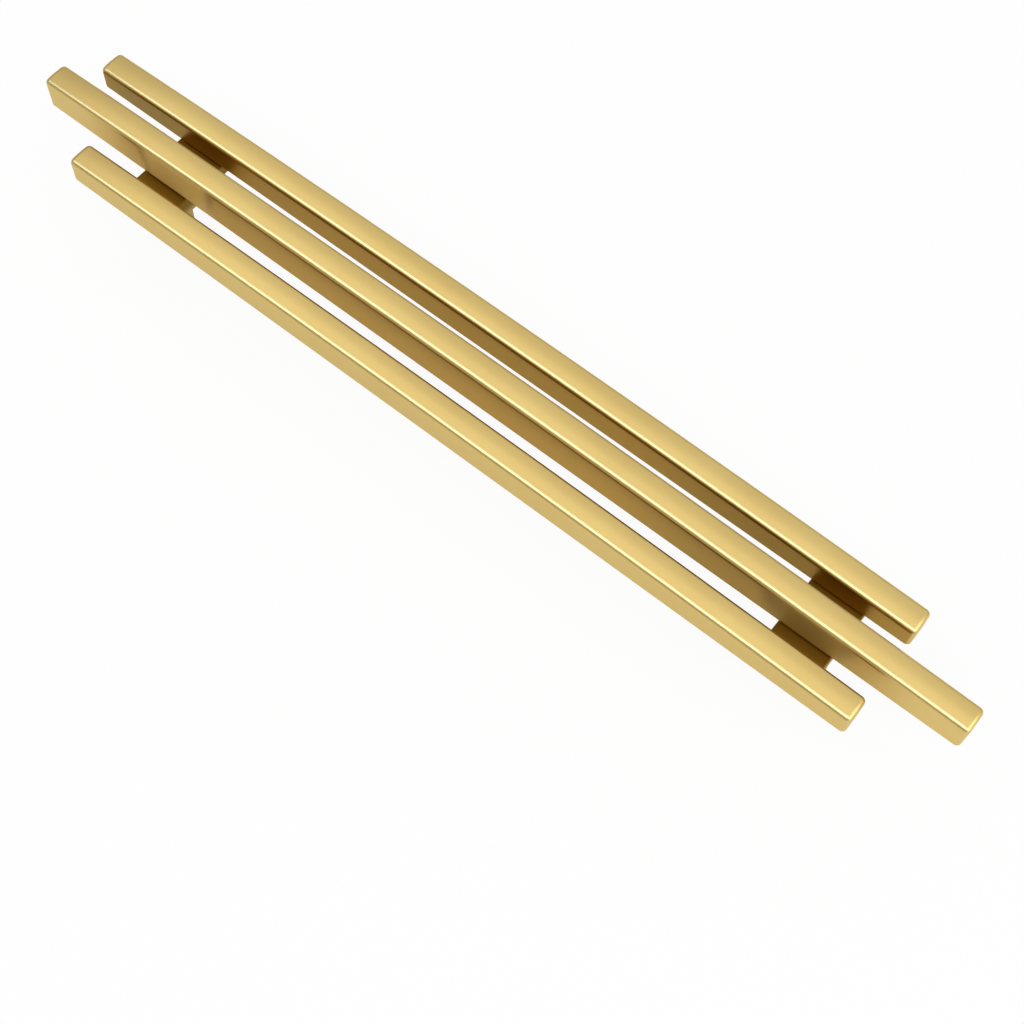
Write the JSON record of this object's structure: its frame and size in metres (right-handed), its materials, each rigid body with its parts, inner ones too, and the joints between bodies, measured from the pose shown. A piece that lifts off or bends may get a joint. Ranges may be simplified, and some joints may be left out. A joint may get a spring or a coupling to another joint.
{
  "type": "barn door pull handle",
  "caption": "Door pull of slim parallel bars with gently arched tops, the longest and tallest in the middle, on cross blocks and round posts that bolt through a sliding door.",
  "frame": {"origin": "on the door face, midway between the two posts", "axes": "+X along the bars, +Y across them, +Z away from the door towards the hand"},
  "size_m": [0.305, 0.037, 0.0375],
  "materials": {
    "satin_gold": "fine satin, clear coated",
    "fastener_steel": "plain machined"
  },
  "bodies": {
    "root": {"centre_bar": "satin_gold", "side_bar_near": "satin_gold", "side_bar_far": "satin_gold", "cross_block_left": "satin_gold", "cross_block_right": "satin_gold", "post_left": "satin_gold", "post_right": "satin_gold", "post_stud_left": "fastener_steel", "post_stud_right": "fastener_steel", "block_screw_near_left": "fastener_steel", "block_screw_near_right": "fastener_steel", "block_screw_far_left": "fastener_steel", "block_screw_far_right": "fastener_steel"}
  },
  "joints": []
}
